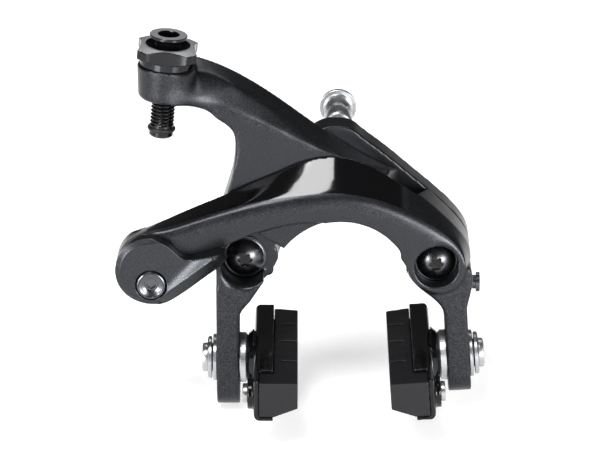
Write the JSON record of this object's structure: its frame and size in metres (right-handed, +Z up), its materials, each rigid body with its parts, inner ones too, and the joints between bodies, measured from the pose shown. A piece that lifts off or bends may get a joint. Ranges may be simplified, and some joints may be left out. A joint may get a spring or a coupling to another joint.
{
  "type": "dual-pivot rim brake caliper",
  "caption": "Front dual-pivot rim brake caliper for a road bicycle, with two arms on a bracket, brake shoes in adjustable ball-washer seats, a cable adjuster and a quick release.",
  "frame": {"origin": "on the fork bolt's axis, at the face of the serrated washer that meets the fork", "axes": "+Y along the fork bolt, back through the fork, +X to the viewer's right seen from the front, +Z up"},
  "size_m": [0.0989, 0.1031, 0.1038],
  "materials": {
    "satin_arm": "satin",
    "lever_grey": "satin",
    "black_alloy": "gloss",
    "black_steel": "gloss",
    "silver_steel": "polished",
    "chrome_nut": "polished",
    "black_rubber": "matt",
    "black_plastic": "matt"
  },
  "bodies": {
    "bracket": {"pivot_bracket": "satin_arm", "mounting_bolt": "silver_steel", "sleeve_nut": "chrome_nut", "serrated_washer": "silver_steel", "left_pivot_screw": "black_steel", "right_pivot_screw": "black_steel", "left_pivot_washer": "black_steel", "right_pivot_washer": "black_steel", "left_pivot_shim": "black_plastic", "right_pivot_shim": "black_plastic", "return_spring": "silver_steel"},
    "rear_arm": {"housing_arm": "satin_arm", "left_pivot_bush": "black_plastic", "left_spring_guide": "black_plastic"},
    "front_arm": {"anchor_arm": "satin_arm", "right_pivot_bush": "black_plastic", "right_spring_guide": "black_plastic", "sync_pin": "silver_steel"},
    "roller": {"sync_roller": "silver_steel"},
    "balance_screw": {"centring_screw": "black_steel"},
    "cable_nut": {"adjuster_nut": "black_alloy"},
    "cable_stop": {"adjuster_bolt": "black_alloy", "adjuster_o_ring": "black_rubber"},
    "release": {"quick_release_lever": "lever_grey", "lever_retaining_ring": "black_steel", "anchor_bolt": "silver_steel", "cable_clamp_washer": "silver_steel", "anchor_nut": "silver_steel"},
    "left_shoe_seat": {"left_inner_dome": "silver_steel", "left_outer_dome": "silver_steel"},
    "left_cup": {"left_cup_washer": "silver_steel"},
    "left_shoe": {"left_shoe_holder": "black_alloy", "left_brake_pad": "black_rubber", "left_pad_retaining_screw": "silver_steel", "left_shoe_bolt": "silver_steel"},
    "right_shoe_seat": {"right_inner_dome": "silver_steel", "right_outer_dome": "silver_steel"},
    "right_cup": {"right_cup_washer": "silver_steel"},
    "right_shoe": {"right_shoe_holder": "black_alloy", "right_brake_pad": "black_rubber", "right_pad_retaining_screw": "silver_steel", "right_shoe_bolt": "silver_steel"}
  },
  "joints": [
    {"name": "front_arm_pivot", "type": "hinge", "parent": "bracket", "child": "front_arm", "pos_m": [0.0255, -0.02, -0.0172], "axis": [0, 1, 0], "range_deg": [0, 9], "stiffness_Nm_per_rad": 1, "springref_deg": -22.92, "deforming": ["return_spring"]},
    {"name": "rear_arm_pivot", "type": "hinge", "parent": "bracket", "child": "rear_arm", "pos_m": [-0.0255, -0.017, -0.0172], "axis": [0, -1, 0], "range_deg": [0, 9]},
    {"name": "roller_spin", "type": "hinge", "parent": "front_arm", "child": "roller", "pos_m": [0, -0.018, 0.0025], "axis": [0, 1, 0], "continuous": true},
    {"name": "centring_turn", "type": "hinge", "parent": "front_arm", "child": "balance_screw", "pos_m": [0.033, -0.02, -0.0257], "axis": [1, 0, 0], "range_deg": [-180, 180]},
    {"name": "adjuster_turn", "type": "hinge", "parent": "rear_arm", "child": "cable_nut", "pos_m": [-0.04638, -0.019, 0.0311], "axis": [0.0872, 0, 0.9962], "range_deg": [0, 2700]},
    {"name": "adjuster_rise", "type": "slide", "parent": "rear_arm", "child": "cable_stop", "axis": [0.0872, 0, 0.9962], "range_m": [0, 0.0076]},
    {"name": "release_turn", "type": "hinge", "parent": "front_arm", "child": "release", "pos_m": [-0.0505, -0.03, -0.017], "axis": [0, -1, 0], "range_deg": [0, 95]},
    {"name": "left_shoe_height", "type": "slide", "parent": "rear_arm", "child": "left_shoe_seat", "axis": [0, 0, 1], "range_m": [-0.005, 0.004]},
    {"name": "left_shoe_toe_in", "type": "hinge", "parent": "left_shoe_seat", "child": "left_cup", "pos_m": [-0.0301, -0.0236, -0.0462], "axis": [0, 0, 1], "range_deg": [-3, 3]},
    {"name": "left_shoe_pitch", "type": "hinge", "parent": "left_cup", "child": "left_shoe", "pos_m": [-0.0301, -0.0236, -0.0462], "axis": [1, 0, 0], "range_deg": [-10, 10]},
    {"name": "right_shoe_height", "type": "slide", "parent": "front_arm", "child": "right_shoe_seat", "axis": [-0.068, 0, 0.9977], "range_m": [-0.005, 0.004]},
    {"name": "right_shoe_toe_in", "type": "hinge", "parent": "right_shoe_seat", "child": "right_cup", "pos_m": [0.0318, -0.0236, -0.0452], "axis": [-0.068, 0, 0.9977], "range_deg": [-3, 3]},
    {"name": "right_shoe_pitch", "type": "hinge", "parent": "right_cup", "child": "right_shoe", "pos_m": [0.0318, -0.0236, -0.0452], "axis": [-0.9977, 0, -0.068], "range_deg": [-10, 10]}
  ],
  "couplings": [
    {"joint": "rear_arm_pivot", "follows": "front_arm_pivot", "ratio": 1},
    {"joint": "adjuster_rise", "follows": "adjuster_turn", "m_per_rad": 0.00015915}
  ]
}
